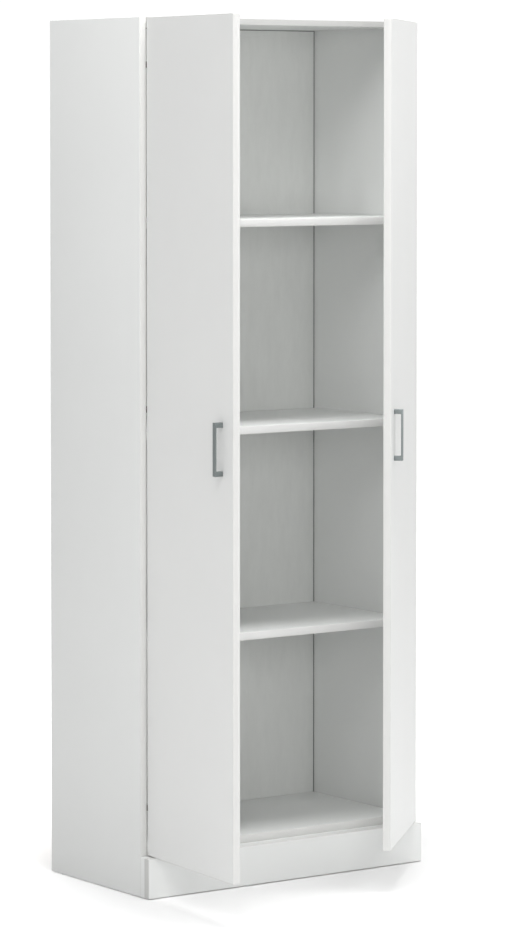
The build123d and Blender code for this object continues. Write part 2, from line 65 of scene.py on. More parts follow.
# Hinge places for the closed left door: pins, cup, and where the screws sit
HINGE_Z = (181.0, 995.0, 1694.0)
ARM_PIN = Vector((-324.3, 27.4))
CUP_PIN = Vector((-339.8, 16.0))
CUP_X = -327.0
CUP_FLANGE = 1.0
CUP_SCREW_X = -317.5
SIDE_INNER_X = -334.0
PLATE_FACE_X = -331.6
ARM_FACE_X = -320.0
HINGE_SCREW_Y = 59.0

# Other places on the closed left door
DOOR_BACK_Y = 20.0
HANDLE_X = -45.5
HANDLE_Z = (889.5, 985.5)
BUFFER_X = -15.5
BUFFER_Z = (92.0, 1784.0)

# Places in the carcass
CAM_PLACES = [(x, y) for x in (-310.0, 310.0) for y in (72.0, 307.0)]
CAM_BORE = 7.6
PIN_Y = (69.0, 312.0)
PIN_Z = (503.5, 1359.5)
WALL_HOLE_Z = 1756.5

# Corners of the boards, the rebate behind each side panel, and the pads that the boards stand on
BOARD_CORNER = 1.6
REBATE_LEFT = 8.0
REBATE_DEEP = 3.0
GLIDE_H = 1.6

# The back board's lacquered face stops short of the sides and the top, which leaves a shadow gap
BACK_SKIN = 2.3
SHADOW_GAP = 2.0

# Edges that turn by less than this are shaded smooth
SMOOTH_BELOW = radians(24)

# Where the floor starts to turn into the backdrop's white and where it has, in metres from a point in front
FLOOR_FADE = (0.35, 1.3)
FADE_FROM = (0.25, -0.15, 0.0)
FLOOR_REACH = 40.0

# Soft boxes: their width, what they are aimed at and where they hang, in metres
LIGHT_SIZE = 2.0
LIGHT_AIM = Vector((0.0, 0.1, 0.9))
LIGHT_PLACES = {
    "overhead": (0.0, -0.5, 5.2),
    "left_high": (-3.07, -2.48, 4.5),
    "right_high": (3.07, -2.48, 4.5),
    "front_high": (-1.88, -3.44, 4.5),
    "front_low": (-2.51, -4.62, 1.65),
}

# Rims of plates and boards: how far in and how deep each step lies, from the face to the edge
CRISP = ((0.3, 0.0), (0.09, 0.09), (0.0, 0.3))
EASED = ((0.6, 0.0), (0.35, 0.08), (0.08, 0.35), (0.0, 0.6))


def box_mm(node, place=None):
    """A node's lowest and highest corners in millimetres, taken back through a placing if one is given."""
    points = [v.co for v in frame["nodes"][node].data.vertices]
    if place is not None:
        back = place.inverted()
        points = [back @ p for p in points]
    lo = [min(p[i] for p in points) / MM for i in range(3)]
    hi = [max(p[i] for p in points) / MM for i in range(3)]
    return lo, hi


def joint_turn(joint, degrees):
    """A joint's turn about its own line."""
    there = Matrix.Translation(joint["pos_m"])
    return there @ Matrix.Rotation(radians(degrees), 4, Vector(joint["axis"])) @ there.inverted()


def placing(side):
    """Where the links and the door stand at rest, from where they are when the door is closed."""
    door = JOINTS[side + "_door_turn"]
    closed = door["range_deg"][0]
    links = joint_turn(JOINTS[side + "_link_swing"], closed * LINK_TURN / DOOR_TURN)
    return links.inverted(), (links @ joint_turn(door, closed)).inverted()


# Drawing


def circle(x, y, radius, sides=32, start=0.0, turn=2 * pi):
    """Points round a circle or along an arc."""
    steps = sides if abs(turn - 2 * pi) < 1e-6 else sides + 1
    return [
        (x + radius * cos(start + turn * i / sides), y + radius * sin(start + turn * i / sides))
        for i in range(steps)
    ]


def rounded(corners, radius, steps=5):
    """Outline whose corners, listed with a radius of their own or the common one, are rounded."""
    points = [Vector(c[:2]) for c in corners]
    radii = [c[2] if len(c) > 2 else radius for c in corners]
    outline = []
    for i, (point, r) in enumerate(zip(points, radii)):
        to_before = (points[i - 1] - point).normalized()
        to_after = (points[(i + 1) % len(points)] - point).normalized()
        half = to_before.angle(to_after) / 2
        if r <= 0 or half > pi / 2 - 0.01:
            outline.append(tuple(point))
            continue
        middle = point + (to_before + to_after).normalized() * (r / sin(half))
        first = point + to_before * (r * cos(half) / sin(half)) - middle
        last = point + to_after * (r * cos(half) / sin(half)) - middle
        begin = atan2(first.y, first.x)
        sweep = (atan2(last.y, last.x) - begin + pi) % (2 * pi) - pi
        outline += [
            (middle.x + r * cos(begin + sweep * k / steps), middle.y + r * sin(begin + sweep * k / steps))
            for k in range(steps + 1)
        ]
    return outline


def rectangle(lo, hi, radius, steps=5):
    """Rectangle with rounded corners."""
    return rounded([(lo[0], lo[1]), (hi[0], lo[1]), (hi[0], hi[1]), (lo[0], hi[1])], radius, steps)


def wound(loop, forward):
    """The loop as vectors, run anticlockwise, or clockwise for a hole."""
    points = [Vector(p) for p in loop]
    area = sum(a.x * b.y - b.x * a.y for a, b in zip(points, points[1:] + points[:1]))
    return points if (area > 0) == forward else points[::-1]


def moved_in(loop, amount):
    """The loop moved sideways into the material."""
    if not amount:
        return loop
    moved = []
    for before, here, after in zip(loop[-1:] + loop[:-1], loop, loop[1:] + loop[:1]):
        first, second = (here - before).normalized(), (after - here).normalized()
        across = Vector((-first.y - second.y, first.x + second.x)).normalized()
        moved.append(here + across * (amount / max(0.2, across.dot(Vector((-first.y, first.x))))))
    return moved


class Drawing:
    """A mesh being drawn in millimetres, with its drawing axes laid on the part's axes."""

    def __init__(self, axes="XYZ"):
        self.bm = bmesh.new()
        self.lay(axes)

    def lay(self, axes, centre=(0.0, 0.0, 0.0)):
        """Which of the part's axes the drawing's own three run along, and from where."""
        self.order = ["XYZ".index(a) for a in axes]
        self.centre = centre

    def ring(self, points, height):
        """Vertices of one loop at one height."""
        verts = []
        for u, v in points:
            place = [0.0, 0.0, 0.0]
            for axis, value in zip(self.order, (u, v, height)):
                place[axis] = value
            verts.append(self.bm.verts.new([p + c for p, c in zip(place, self.centre)]))
        return verts

    def wall(self, ring, other, finish=0):
        """Faces between two rings of the same count, or between a ring and a point."""
        count = max(len(ring), len(other))
        for i in range(count):
            j = (i + 1) % count
            corners = (ring[i % len(ring)], ring[j % len(ring)], other[j % len(other)], other[i % len(other)])
            self.bm.faces.new(list(dict.fromkeys(corners))).material_index = finish

    def cap(self, rings, finish=0):
        """Flat face inside the first ring and outside the others."""
        if len(rings) == 1:
            self.bm.faces.new(rings[0]).material_index = finish
            return
        edges = []
        for ring in rings:
            for a, b in zip(ring, ring[1:] + ring[:1]):
                edges.append(self.bm.edges.get((a, b)) or self.bm.edges.new((a, b)))
        made = bmesh.ops.triangle_fill(self.bm, edges=edges, use_beauty=True, use_dissolve=False)
        for face in made["geom"]:
            if isinstance(face, bmesh.types.BMFace):
                face.material_index = finish

    def plate(self, outline, low, high, rim=CRISP, holes=(), pockets=(), rim_finish=0, pocket_finish=0):
        """Plate between two heights, with shaped rims, through holes, and pockets sunk from the high side."""
        caps_low, caps_high = [], []
        for number, loop in enumerate([outline, *holes]):
            points = wound(loop, number == 0)
            rings = [self.ring(moved_in(points, into), low + deep) for into, deep in rim]
            rings += [self.ring(moved_in(points, into), high - deep) for into, deep in reversed(rim)]
            for ring, other in zip(rings, rings[1:]):
                self.wall(ring, other, rim_finish)
            caps_low.append(rings[0])
            caps_high.append(rings[-1])
        for loop, depth in pockets:
            points = wound(loop, False)
            mouth, floor = self.ring(points, high), self.ring(points, high - depth)
            self.wall(mouth, floor, pocket_finish)
            self.cap([floor], pocket_finish)
            caps_high.append(mouth)
        self.cap(caps_low)
        self.cap(caps_high)

    def turned(self, profile, sides=32, closed=False):
        """Solid turned about the drawing's third axis from (radius, height) points."""
        rings = []
        for radius, height in profile:
            points = circle(0, 0, radius, sides) if radius > 1e-6 else [(0.0, 0.0)]
            rings.append(self.ring(points, height))
        pairs = list(zip(rings, rings[1:])) + ([(rings[-1], rings[0])] if closed else [])
        for ring, other in pairs:
            if len(ring) + len(other) > 2:
                self.wall(ring, other)

    def mesh(self, name, mirrored=False):
        """The finished mesh, mirrored for the right-hand side if asked, with its faces outwards."""
        if mirrored:
            bmesh.ops.scale(self.bm, vec=(-1.0, 1.0, 1.0), verts=self.bm.verts)
        bmesh.ops.remove_doubles(self.bm, verts=self.bm.verts, dist=1e-5)
        bmesh.ops.recalc_face_normals(self.bm, faces=self.bm.faces)
        mesh = bpy.data.meshes.new(name)
        self.bm.to_mesh(mesh)
        self.bm.free()
        return mesh


def put(name, mesh, body, replaces=(), place=None, finishes=()):
    """Makes a piece of a mesh drawn in millimetres: brings it to metres, places it and names its body."""
    mesh.transform(Matrix.Scale(MM, 4))
    if place is not None:
        mesh.transform(place)
    for finish in finishes:
        mesh.materials.append(finish())
    mesh.shade_smooth()
    mesh.set_sharp_from_angle(angle=SMOOTH_BELOW)
    piece = bpy.data.objects.new(name, mesh)
    bpy.context.scene.collection.objects.link(piece)
    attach(piece, body)
    if replaces:
        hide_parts(*replaces)


def put_board(name, mesh, node, *finishes):
    """Makes a white board of the carcass."""
    put(name, mesh, "carcass", (node,), finishes=finishes)


def dress(node, finish):
    """Gives a CAD node that stays in sight its finish."""
    materials = frame["nodes"][node].data.materials
    materials.clear()
    materials.append(finish())


# Nodes


def add(tree, kind, inputs=(), **settings):
    """New node of a tree, with its settings and the values of its inputs."""
    node = tree.nodes.new(kind)
    for name, value in settings.items():
        setattr(node, name, value)
    for name, value in dict(inputs).items():
        node.inputs[name].default_value = value
    return node


def link_nodes(tree, *pairs):
    """Joins sockets named as (node, output, node, input)."""
    for source, output, target, entry in pairs:
        tree.links.new(source.outputs[output], target.inputs[entry])


# Repeated fittings


def start_tree(label, sockets):
    """New node tree with named inputs and one mesh coming out of it."""
    tree = bpy.data.node_groups.new(label, "GeometryNodeTree")
    for name, kind in sockets.items():
        tree.interface.new_socket(name, in_out="INPUT", socket_type="NodeSocket" + kind)
    tree.interface.new_socket("Made", in_out="OUTPUT", socket_type="NodeSocketGeometry")
    return tree, add(tree, "NodeGroupInput"), add(tree, "GeometryNodeInstanceOnPoints")


def end_tree(tree, entry, stand):
    """Stands the fitting on the points, makes the copies real and gives them their finish."""
    fitting = add(tree, "GeometryNodeObjectInfo")
    real = add(tree, "GeometryNodeRealizeInstances")
    paint = add(tree, "GeometryNodeSetMaterial")
    link_nodes(
        tree,
        (entry, "Fitting", fitting, "Object"),
        (fitting, "Geometry", stand, "Instance"),
        (entry, "Size", stand, "Scale"),
        (stand, "Instances", real, "Geometry"),
        (real, "Geometry", paint, "Geometry"),
        (entry, "Finish", paint, "Material"),
        (paint, "Geometry", add(tree, "NodeGroupOutput"), "Made"),
    )
    return tree


def fittings_tree():
    """Node tree that stands one fitting on every place, along the place's axis, spun by a random angle."""
    label = "pantry_fittings"
    if label in bpy.data.node_groups:
        return bpy.data.node_groups[label]
    sockets = {"Places": "Geometry", "Fitting": "Object", "Size": "Float", "Spin": "Float", "Seed": "Int"}
    tree, entry, stand = start_tree(label, {**sockets, "Finish": "Material"})
    axis = add(tree, "GeometryNodeInputNamedAttribute", {"Name": "axis"}, data_type="FLOAT_VECTOR")
    upright = add(tree, "FunctionNodeAlignRotationToVector", axis="Z")
    chance = add(tree, "FunctionNodeRandomValue", data_type="FLOAT")
    spun = add(tree, "FunctionNodeAxisAngleToRotation", {"Axis": UP})
    both = add(tree, "FunctionNodeRotateRotation", rotation_space="LOCAL")
    low, high = [s for s in chance.inputs if s.type == "VALUE"][:2]
    low.default_value = 0.0
    tree.links.new(entry.outputs["Spin"], high)
    angle = next(s for s in chance.outputs if s.type == "VALUE" and s.enabled)
    tree.links.new(angle, spun.inputs["Angle"])
    vector = next(s for s in axis.outputs if s.type == "VECTOR" and s.enabled)
    tree.links.new(vector, upright.inputs["Vector"])
    link_nodes(
        tree,
        (entry, "Seed", chance, "Seed"),
        (upright, "Rotation", both, "Rotation"),
        (spun, "Rotation", both, "Rotate By"),
        (entry, "Places", stand, "Points"),
        (both, "Rotation", stand, "Rotation"),
    )
    return end_tree(tree, entry, stand)


def nails_tree():
    """Node tree that drives nails along a path at an even spacing."""
    sockets = {"Path": "Geometry", "Fitting": "Object", "Size": "Float", "Spacing": "Float"}
    tree, entry, stand = start_tree("pantry_nails", {**sockets, "Finish": "Material"})
    curve = add(tree, "GeometryNodeMeshToCurve")
    spaced = add(tree, "GeometryNodeResampleCurve", mode="LENGTH")
    link_nodes(
        tree,
        (entry, "Path", curve, "Mesh"),
        (curve, "Curve", spaced, "Curve"),
        (entry, "Spacing", spaced, "Length"),
        (spaced, "Curve", stand, "Points"),
    )
    return end_tree(tree, entry, stand)


def run_tree(tree, carrier_mesh, fitting_mesh, values):
    """Runs a node tree on a carrier mesh and gives back the plain mesh that it makes."""
    scene = bpy.context.scene
    fitting = bpy.data.objects.new("fitting", fitting_mesh)
    carrier = bpy.data.objects.new("carrier", carrier_mesh)
    for made in (fitting, carrier):
        scene.collection.objects.link(made)
    modifier = carrier.modifiers.new("Fittings", "NODES")
    modifier.node_group = tree
    for item in tree.interface.items_tree:
        if item.in_out == "INPUT" and item.name == "Fitting":
            modifier[item.identifier] = fitting
        elif item.in_out == "INPUT" and item.name in values:
            modifier[item.identifier] = values[item.name]
    depsgraph = bpy.context.evaluated_depsgraph_get()
    mesh = bpy.data.meshes.new_from_object(carrier.evaluated_get(depsgraph))
    carrier.modifiers.remove(modifier)
    for made in (carrier, fitting):
        bpy.data.objects.remove(made)
    if not mesh.polygons:
        raise RuntimeError("a fittings tree made no faces")
    return mesh


def stand_fittings(fitting_mesh, places, finish, size=1.0, spin=0.0, seed=1):
    """Copies of one fitting at (point, axis) places, in millimetres, as one plain mesh."""
    carrier = bpy.data.meshes.new("places")
    carrier.from_pydata([point for point, _ in places], [], [])
    axis = carrier.attributes.new("axis", "FLOAT_VECTOR", "POINT")
    axis.data.foreach_set("vector", [value for _, direction in places for value in direction])
    values = {"Size": size, "Spin": spin, "Seed": seed, "Finish": finish()}
    return run_tree(fittings_tree(), carrier, fitting_mesh, values)


def at_heights(fitting_mesh, finish):
    """A hinge piece repeated at every hinge."""
    return stand_fittings(fitting_mesh, [((0.0, 0.0, z), UP) for z in HINGE_Z], finish)


def cross(reach, half):
    """Outline of a cross recess."""
    corners = []
    for quarter in range(4):
        turn = Matrix.Rotation(quarter * pi / 2, 2)
        for point in ((reach, -half), (reach, half), (half, half)):
            corners.append(tuple(turn @ Vector(point)))
    return corners


def crossed(profile, sides, mouth, floor, depth):
    """Turned head with a tapered cross recess in its flat top, from mouth to floor as (reach, half width)."""
    head = Drawing()
    rings = [head.ring(circle(0, 0, radius, sides), level) for radius, level in profile]
    for ring, other in zip(rings, rings[1:]):
        head.wall(ring, other)
    top = profile[-1][1]
    edge = head.ring(wound(cross(*mouth), False), top)
    sunk = head.ring(wound(cross(*floor), False), top - depth)
    head.wall(edge, sunk)
    head.cap([sunk])
    head.cap([rings[0]])
    head.cap([rings[-1], edge])
    return head.mesh("crossed_head")


def screw_head(height):
    """Domed screw head of unit diameter."""
    dome = [(0.46, 0.0), (0.5, 0.03), (0.5, 0.3 * height), (0.475, 0.6 * height), (0.42, 0.85 * height)]
    return crossed(dome + [(0.36, height)], 24, (0.27, 0.05), (0.1944, 0.035), 0.2)


# Finishes


def surface(name, build):
    """A finish of that name, built once."""
    label = "pantry_" + name
    made = bpy.data.materials.get(label)
    if made:
        return made
    made = bpy.data.materials.new(label)
    made.use_nodes = True
    build(made.node_tree)
    return made


class Shader:
    """Short words for the nodes that the finishes use."""

    def __init__(self, tree):
        self.tree = tree
        self.out = tree.nodes["Principled BSDF"]
        self.coordinates = add(tree, "ShaderNodeTexCoord")

    def set(self, **values):
        """Values that hold all over the surface, by socket name with underscores for spaces."""
        for label, value in values.items():
            self.out.inputs[label.replace("_", " ")].default_value = value

    def noise(self, scale, detail=4.0, roughness=0.6, drawn=(1.0, 1.0, 1.0)):
        """Cloudy pattern with a scale in turns per metre, drawn out by axis."""
        place = add(self.tree, "ShaderNodeMapping", {"Scale": drawn})
        grain = {"Scale": scale, "Detail": detail, "Roughness": roughness}
        node = add(self.tree, "ShaderNodeTexNoise", grain)
        link_nodes(self.tree, (self.coordinates, "Object", place, "Vector"))
        link_nodes(self.tree, (place, "Vector", node, "Vector"))
        return node.outputs["Fac"]

    def cells(self, scale):
        """Crystal-like cells."""
        node = add(self.tree, "ShaderNodeTexVoronoi", {"Scale": scale})
        link_nodes(self.tree, (self.coordinates, "Object", node, "Vector"))
        return node.outputs["Color"]

    def ramp(self, source, stops):
        """Colours along a pattern, as (position, colour) stops."""
        node = add(self.tree, "ShaderNodeValToRGB")
        while len(node.color_ramp.elements) < len(stops):
            node.color_ramp.elements.new(0.5)
        for element, (position, colour) in zip(node.color_ramp.elements, stops):
            element.position = position
            element.color = (*colour, 1.0)
        self.tree.links.new(source, node.inputs["Fac"])
        return node.outputs["Color"]

    def span(self, source, low, high):
        """A pattern brought between two values."""
        limits = {"From Min": 0.3, "From Max": 0.7, "To Min": low, "To Max": high}
        node = add(self.tree, "ShaderNodeMapRange", limits)
        self.tree.links.new(source, node.inputs["Value"])
        return node.outputs["Result"]

    def colour(self, source):
        self.tree.links.new(source, self.out.inputs["Base Color"])

    def rough(self, source):
        self.tree.links.new(source, self.out.inputs["Roughness"])

    def relief(self, source, depth, strength):
        """Fine relief of a depth in metres."""
        node = add(self.tree, "ShaderNodeBump", {"Strength": strength, "Distance": depth})
        self.tree.links.new(source, node.inputs["Height"])
        self.tree.links.new(node.outputs["Normal"], self.out.inputs["Normal"])

    def fade(self, distances, glow):
        """White that grows with the distance from a point and lights nothing else."""
        away = add(self.tree, "ShaderNodeVectorMath", {1: FADE_FROM}, operation="DISTANCE")
        limits = {"From Min": distances[0], "From Max": distances[1], "To Max": glow}
        grown = add(self.tree, "ShaderNodeMapRange", limits, interpolation_type="SMOOTHSTEP")
        seen = add(self.tree, "ShaderNodeLightPath")
        only_seen = add(self.tree, "ShaderNodeMath", operation="MULTIPLY")
        link_nodes(
            self.tree,
            (self.coordinates, "Object", away, 0),
            (away, "Value", grown, "Value"),
            (grown, "Result", only_seen, 0),
            (seen, "Is Camera Ray", only_seen, 1),
            (only_seen, "Value", self.out, "Emission Strength"),
        )


def shade(colour, amount):
    """The colour made lighter or darker."""
    return tuple(min(1.0, max(0.0, c * amount)) for c in colour)


def boards():
    return bpy.context.scene.pantry_boards


def hardware():
    return bpy.context.scene.pantry_hardware


def coated_board(name, colour, gloss, grain):
    """Melamine coating: a fine pearl texture in the gloss, hardly any in the colour."""
    def build(tree):
        coat = Shader(tree)
        clouds = coat.noise(5.0, detail=3.0)
        coat.colour(coat.ramp(clouds, ((0.3, shade(colour, 0.985)), (0.7, colour))))
        pearl = coat.noise(grain, detail=2.0)
        coat.rough(coat.span(pearl, gloss - 0.05, gloss + 0.06))
        coat.relief(pearl, 0.00006, 0.35)
        coat.set(Specular_IOR_Level=0.42)
    return surface(name, build)


def melamine():
    return coated_board("white_melamine", tuple(boards().board_colour), 0.46, 900.0)


def door_melamine():
    return coated_board("door_melamine", tuple(boards().door_colour), 0.42, 900.0)


def edge_band():
    return coated_board("edge_band", tuple(boards().band_colour), 0.34, 500.0)


# The same plastic band as edge_band in a lighter colour: painted light on the shelves' front edges.
def shelf_band():
    return coated_board("shelf_band", tuple(boards().shelf_band_painted_light_colour), 0.34, 500.0)


# The band's colour darkened to 0.84, for the plinth's end faces.
def plain_end():
    return coated_board("plain_end", shade(tuple(boards().band_colour), 0.84), 0.5, 500.0)


def back_lacquer():
    """Lacquered face of the thin back board, with its faint fibre marks."""
    colour = tuple(boards().back_colour)
    def build(tree):
        coat = Shader(tree)
        fibres = coat.noise(60.0, detail=5.0, drawn=(1.0, 1.0, 0.25))
        coat.colour(coat.ramp(fibres, ((0.3, shade(colour, 0.95)), (0.7, colour))))
        fine = coat.noise(700.0)
        coat.rough(coat.span(fine, 0.5, 0.62))
        coat.relief(fine, 0.00008, 0.4)
    return surface("back_lacquer", build)


# The back's lacquer darkened to 0.3 for the face seen inside the shadow gap: painted shade.
def back_groove():
    return coated_board("back_groove", shade(tuple(boards().back_colour), 0.3), 0.6, 700.0)


def raw_fibre():
    """Unpainted fibreboard: short brown fibres and a pressed screen pattern."""
    colour = tuple(boards().raw_colour)
    def build(tree):
        board = Shader(tree)
        fibres = board.noise(420.0, detail=6.0, roughness=0.75, drawn=(1.0, 1.0, 0.3))
        board.colour(
            board.ramp(fibres, ((0.25, shade(colour, 0.62)), (0.5, colour), (0.78, shade(colour, 1.28))))
        )
        board.rough(board.span(fibres, 0.78, 0.92))
        board.relief(fibres, 0.00025, 0.5)
    return surface("raw_fibreboard", build)


def chipboard():
    """Bare chipboard inside drilled holes."""
    def build(tree):
        core = Shader(tree)
        chips = core.cells(520.0)
        core.colour(core.ramp(chips, ((0.1, (0.36, 0.25, 0.14)), (0.9, (0.66, 0.52, 0.34)))))
        core.set(Roughness=0.9)
    return surface("bare_chipboard", build)


def beech():
    """Planed beech with grain along the dowel."""
    colour = (0.60, 0.40, 0.24)
    def build(tree):
        rod = Shader(tree)
        rings = rod.noise(220.0, detail=6.0, roughness=0.62, drawn=(0.08, 1.0, 1.0))
        rod.colour(rod.ramp(rings, ((0.3, shade(colour, 0.66)), (0.5, colour), (0.72, shade(colour, 1.18)))))
        rod.rough(rod.span(rings, 0.55, 0.75))
        rod.relief(rings, 0.0002, 0.4)
    return surface("dowel_beech", build)


def metal(name, colour, gloss, scale, drawn=(1.0, 1.0, 1.0), relief=0.00003, spangle=0.0):
    """Metal whose gloss and tone vary with its finish: brushed, plated or spangled."""
    def build(tree):
        bare = Shader(tree)
        marks = bare.noise(scale, detail=5.0, drawn=drawn)
        tones = bare.cells(spangle) if spangle else marks
        bare.colour(bare.ramp(tones, ((0.25, shade(colour, 0.86)), (0.75, shade(colour, 1.08)))))
        bare.rough(bare.span(marks, gloss - 0.06, gloss + 0.08))
        bare.relief(marks, relief, 0.5)
        bare.set(Metallic=1.0)
    return surface(name, build)


def satin_handle():
    return metal("satin_handle", tuple(hardware().handle_colour), 0.42, 2600.0, (1.0, 1.0, 0.03))


def nickel():
    return metal("hinge_nickel", tuple(hardware().nickel_colour), 0.2, 160.0)


def dark_nickel():
    return metal("link_steel", (0.50, 0.50, 0.49), 0.28, 400.0)


def zinc_cast():
    return metal("cast_zinc", (0.52, 0.53, 0.55), 0.42, 1400.0, relief=0.0001)


def zinc_plate():
    return metal("zinc_plate", (0.62, 0.64, 0.66), 0.34, 300.0, spangle=170.0)


def screw_steel():
    return metal("screw_steel", (0.66, 0.65, 0.62), 0.26, 900.0)


def soft_buffer():
    """Clear soft dome with a milky cast."""
    def build(tree):
        gel = Shader(tree)
        milk = gel.noise(350.0)
        gel.colour(gel.ramp(milk, ((0.3, (0.74, 0.75, 0.75)), (0.7, (0.84, 0.85, 0.85)))))
        gel.rough(gel.span(milk, 0.2, 0.32))
        gel.set(Specular_IOR_Level=0.5, Subsurface_Weight=0.3, Subsurface_Scale=0.001)
    return surface("soft_buffer", build)


def floor_paper():
    """White studio floor, which turns into the white of the backdrop further away."""
    stage = bpy.context.scene.pantry_stage
    colour = tuple(stage.floor_colour)
    def build(tree):
        paper = Shader(tree)
        clouds = paper.noise(0.8, detail=2.0)
        paper.colour(paper.ramp(clouds, ((0.3, shade(colour, 0.995)), (0.7, colour))))
        paper.set(Roughness=0.75, Specular_IOR_Level=0.15, Emission_Color=WHITE)
        paper.fade(FLOOR_FADE, stage.floor_glow)
    return surface("floor_paper", build)


# Settings


def colour_setting(name, description, default):
    return FloatVectorProperty(name=name, description=description, subtype="COLOR", default=default)


def length_setting(name, description, default):
    return FloatProperty(name=name, description=description, unit="LENGTH", default=default)


def power_setting(name, description, default):
    return FloatProperty(name=name, description=description, unit="POWER", default=default)


class PantryBoards(bpy.types.PropertyGroup):
    """Colours and edges of the boards."""

    board_colour: colour_setting("Board", "Carcass melamine", (0.793, 0.803, 0.793))
    door_colour: colour_setting("Door", "Door melamine", (0.793, 0.798, 0.788))
    band_colour: colour_setting("Edge band", "Plastic band on the edges", (0.722, 0.722, 0.708))
    # Lighter than the edge band: painted light on the shelves' front edges.
    shelf_band_painted_light_colour: colour_setting("Shelf band", "Plastic band on the shelves", (0.85, 0.85, 0.84))
    back_colour: colour_setting("Back", "Lacquered face of the back board", (0.785, 0.796, 0.779))
    raw_colour: colour_setting("Fibre", "Bare fibreboard behind", (0.34, 0.22, 0.12))
    band: length_setting("Band", "Thickness of the edge band", 0.0012)
    seam: length_setting("Seam", "Width of the seam beside the band", 0.0002)


class PantryHardware(bpy.types.PropertyGroup):
    """Finish and fixing of the metal pieces."""

    handle_colour: colour_setting("Handle", "Satin handle metal", (0.30, 0.33, 0.33))
    nickel_colour: colour_setting("Hinge", "Nickel of the hinges", (0.70, 0.69, 0.67))
    nail_spacing: length_setting("Nail spacing", "Distance between back nails", 0.11)
    nail_head: length_setting("Nail head", "Diameter of a back nail's head", 0.0034)
    spin_seed: IntProperty(name="Spin", description="Seed for how the screw slots stand", default=7)


class PantryStage(bpy.types.PropertyGroup):
    """Camera, floor and light."""

    camera_place: FloatVectorProperty(
        name="Camera", description="Where the camera stands", subtype="TRANSLATION",
        default=(-4.6022, -6.3622, 1.5763),
    )
    camera_yaw: FloatProperty(
        name="Yaw", description="Turn to the right", subtype="ANGLE", default=radians(35.4296)
    )
    camera_dip: FloatProperty(
        name="Dip", description="Tilt down", subtype="ANGLE", default=radians(2.4087)
    )
    lens: FloatProperty(name="Lens", description="Focal length in millimetres", default=145.052)
    lift: FloatProperty(name="Lift", description="Vertical shift of the lens", default=-0.2)
    floor_colour: colour_setting("Floor", "Studio floor", (0.75, 0.75, 0.75))
    floor_glow: FloatProperty(name="Far floor", description="White added to the far floor", default=0.62)
    front_glow: FloatProperty(name="Front", description="Strength of the even light in front", default=0.06)
    back_glow: FloatProperty(name="Behind", description="Strength of the even light behind", default=1.03)
    backdrop: FloatProperty(name="Backdrop", description="Strength of the backdrop that shows", default=1.05)
    overhead: power_setting("Overhead", "Power of the top light", 205.0)
    left_high: power_setting("Left", "Power of the high left light", 63.0)
    right_high: power_setting("Right", "Power of the high right light", 63.0)
    front_high: power_setting("Front high", "Power of the high front light", 16.0)
    front_low: power_setting("Front low", "Power of the low front light", 63.0)


# Pieces


def band_rim():
    """Rim of a banded board: the band, its seam and its rounded corner."""
    band, seam = boards().band / MM, boards().seam / MM
    groove = ((band + seam, 0.0), (band + seam / 2, seam), (band, 0.0))
    return groove + EASED


def flat_board(name, band, pockets, flip):
    """Board lying flat, with a banded rim and pockets in its upper face, or its lower one if flipped."""
    lo, hi = box_mm(name)
    low, high = (-hi[2], -lo[2]) if flip else (lo[2], hi[2])
    board = Drawing("XYZ")
    outline = rectangle(lo, hi, BOARD_CORNER)
    board.plate(outline, low, high, band_rim(), pockets=pockets, rim_finish=1, pocket_finish=2)
    if flip:
        bmesh.ops.scale(board.bm, vec=(1.0, 1.0, -1.0), verts=board.bm.verts)
    put_board(name + "_board", board.mesh(name), name, melamine, band, chipboard)


